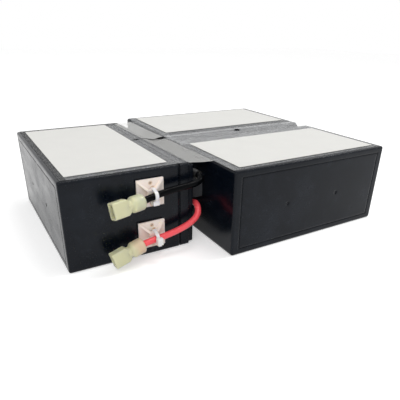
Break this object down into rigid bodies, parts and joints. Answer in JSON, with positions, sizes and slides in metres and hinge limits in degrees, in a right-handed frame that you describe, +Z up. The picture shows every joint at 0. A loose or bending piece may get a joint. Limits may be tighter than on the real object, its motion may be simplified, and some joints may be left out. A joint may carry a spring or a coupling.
{
  "type": "ups battery cartridge",
  "caption": "Replacement battery cartridge for a rack UPS: sealed lead-acid batteries lying flat, joined by film and wired in series, with black and red leads to push-on connectors.",
  "frame": {"origin": "middle of the base, on the surface that the cartridge rests on", "axes": "+X along the cartridge's length, away from the lone battery that carries the leads; -Y is the front, where the leads come out; +Z up"},
  "size_m": [0.26, 0.1988, 0.0656],
  "materials": {
    "case": "moulded ABS, fine satin grain",
    "lid": "moulded ABS, satin",
    "cover_plate": "moulded ABS, satin",
    "valve_rubber": "soft rubber",
    "terminal_metal": "tin plated",
    "terminal_seal": "cast resin",
    "plates": "pasted lead plates in glass mat",
    "straps": "cast lead",
    "label": "plain white, matt",
    "film": "clear adhesive film, slightly milky",
    "foam": "closed-cell foam",
    "wire_black": "PVC insulation, satin",
    "wire_red": "PVC insulation, satin",
    "nylon": "translucent natural nylon",
    "contact_metal": "tin plated",
    "sleeve": "moulded vinyl boot",
    "mount_plastic": "natural nylon, cream",
    "tape": "foam tape",
    "tie": "natural nylon"
  },
  "bodies": {
    "root": {"left_container": "case", "left_lid": "lid", "left_vent_cover": "cover_plate", "left_valve_caps": "valve_rubber", "left_terminal_positive": "terminal_metal", "left_terminal_negative": "terminal_metal", "left_terminal_seals": "terminal_seal", "left_plate_groups": "plates", "left_cell_straps": "straps", "left_label": "label", "front_container": "case", "front_lid": "lid", "front_vent_cover": "cover_plate", "front_valve_caps": "valve_rubber", "front_terminal_positive": "terminal_metal", "front_terminal_negative": "terminal_metal", "front_terminal_seals": "terminal_seal", "front_plate_groups": "plates", "front_cell_straps": "straps", "front_label": "label", "rear_container": "case", "rear_lid": "lid", "rear_vent_cover": "cover_plate", "rear_valve_caps": "valve_rubber", "rear_terminal_positive": "terminal_metal", "rear_terminal_negative": "terminal_metal", "rear_terminal_seals": "terminal_seal", "rear_plate_groups": "plates", "rear_cell_straps": "straps", "rear_label": "label", "cover_film_front": "film", "cover_film_rear": "film", "front_spacer": "foam", "rear_spacer": "foam", "middle_spacer": "foam", "upper_tie_mount": "mount_plastic", "lower_tie_mount": "mount_plastic", "upper_mount_tape": "tape", "lower_mount_tape": "tape", "upper_cable_tie": "tie", "lower_cable_tie": "tie", "lead_flag_contacts": "contact_metal", "jumper_flag_contacts": "contact_metal", "lead_flag_sleeves": "sleeve", "jumper_flag_sleeves": "sleeve", "black_lead": "wire_black", "red_lead": "wire_red", "long_jumper": "wire_black", "short_jumper": "wire_black", "black_connector_housing": "nylon", "red_connector_housing": "nylon", "black_connector_contact": "contact_metal", "red_connector_contact": "contact_metal"}
  },
  "joints": []
}
